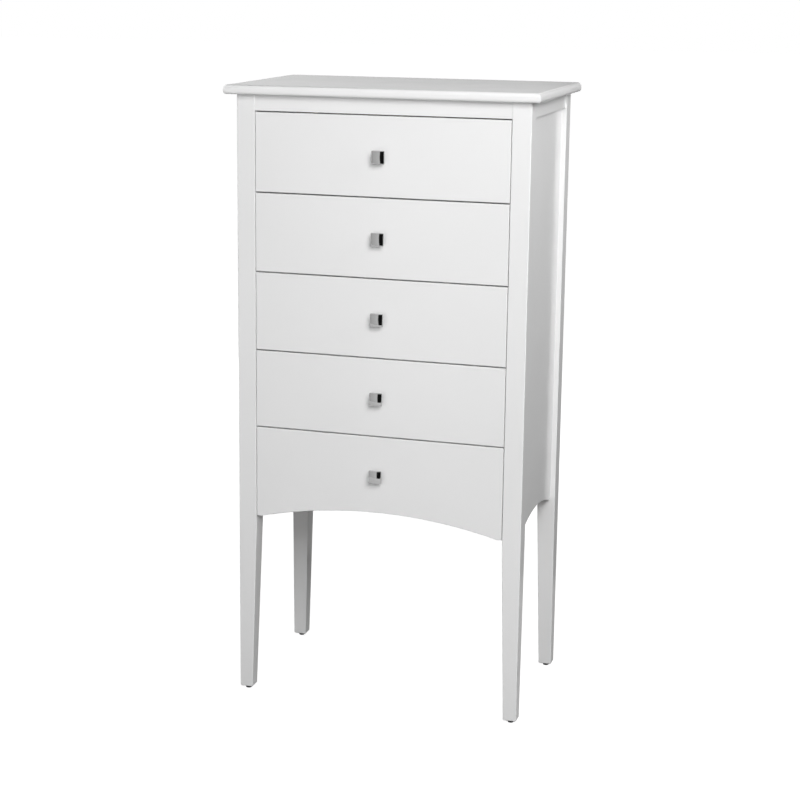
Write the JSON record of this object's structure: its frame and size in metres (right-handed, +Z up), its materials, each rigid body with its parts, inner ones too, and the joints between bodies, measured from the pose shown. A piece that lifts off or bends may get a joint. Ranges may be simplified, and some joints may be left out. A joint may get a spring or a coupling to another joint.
{
  "type": "tall chest of drawers",
  "caption": "Tall, narrow white-painted chest of drawers on tapered legs, with an arched lower edge at the front and sides, a rounded edge to the top and a square chrome knob on each drawer.",
  "frame": {"origin": "on the floor, under the middle of the overall box of the chest with its drawers shut", "axes": "+Z up, front with the knobs towards -Y, +X to the right of someone facing the front"},
  "size_m": [0.605, 0.36, 1.2],
  "materials": {
    "painted_wood": "satin white paint",
    "drawer_wood": "bare sanded wood",
    "hardboard": "smooth pressed board",
    "chrome": "polished",
    "screw_steel": "zinc plated",
    "glide_plastic": "moulded"
  },
  "bodies": {
    "carcass": {"top_slab": "painted_wood", "front_left_post": "painted_wood", "front_right_post": "painted_wood", "back_left_post": "painted_wood", "back_right_post": "painted_wood", "front_top_rail": "painted_wood", "front_bottom_rail": "painted_wood", "back_top_rail": "painted_wood", "back_bottom_rail": "painted_wood", "left_top_rail": "painted_wood", "right_top_rail": "painted_wood", "left_side_panel": "painted_wood", "right_side_panel": "painted_wood", "back_panel": "hardboard", "leg_glides": "glide_plastic", "top_screws": "screw_steel", "runner_screws": "screw_steel", "back_panel_screws": "screw_steel", "drawer_1_runners": "drawer_wood", "drawer_2_runners": "drawer_wood", "drawer_3_runners": "drawer_wood", "drawer_4_runners": "drawer_wood", "drawer_5_runners": "drawer_wood"},
    "drawer_1": {"drawer_1_front": "painted_wood", "drawer_1_left_side": "drawer_wood", "drawer_1_right_side": "drawer_wood", "drawer_1_back": "drawer_wood", "drawer_1_bottom": "hardboard", "drawer_1_knob": "chrome", "drawer_1_knob_screw": "screw_steel"},
    "drawer_2": {"drawer_2_front": "painted_wood", "drawer_2_left_side": "drawer_wood", "drawer_2_right_side": "drawer_wood", "drawer_2_back": "drawer_wood", "drawer_2_bottom": "hardboard", "drawer_2_knob": "chrome", "drawer_2_knob_screw": "screw_steel"},
    "drawer_3": {"drawer_3_front": "painted_wood", "drawer_3_left_side": "drawer_wood", "drawer_3_right_side": "drawer_wood", "drawer_3_back": "drawer_wood", "drawer_3_bottom": "hardboard", "drawer_3_knob": "chrome", "drawer_3_knob_screw": "screw_steel"},
    "drawer_4": {"drawer_4_front": "painted_wood", "drawer_4_left_side": "drawer_wood", "drawer_4_right_side": "drawer_wood", "drawer_4_back": "drawer_wood", "drawer_4_bottom": "hardboard", "drawer_4_knob": "chrome", "drawer_4_knob_screw": "screw_steel"},
    "drawer_5": {"drawer_5_front": "painted_wood", "drawer_5_left_side": "drawer_wood", "drawer_5_right_side": "drawer_wood", "drawer_5_back": "drawer_wood", "drawer_5_bottom": "hardboard", "drawer_5_knob": "chrome", "drawer_5_knob_screw": "screw_steel"}
  },
  "joints": [
    {"name": "drawer_1_slide", "type": "slide", "parent": "carcass", "child": "drawer_1", "axis": [0, -1, 0], "range_m": [0, 0.22]},
    {"name": "drawer_2_slide", "type": "slide", "parent": "carcass", "child": "drawer_2", "axis": [0, -1, 0], "range_m": [0, 0.22]},
    {"name": "drawer_3_slide", "type": "slide", "parent": "carcass", "child": "drawer_3", "axis": [0, -1, 0], "range_m": [0, 0.22]},
    {"name": "drawer_4_slide", "type": "slide", "parent": "carcass", "child": "drawer_4", "axis": [0, -1, 0], "range_m": [0, 0.22]},
    {"name": "drawer_5_slide", "type": "slide", "parent": "carcass", "child": "drawer_5", "axis": [0, -1, 0], "range_m": [0, 0.22]}
  ]
}
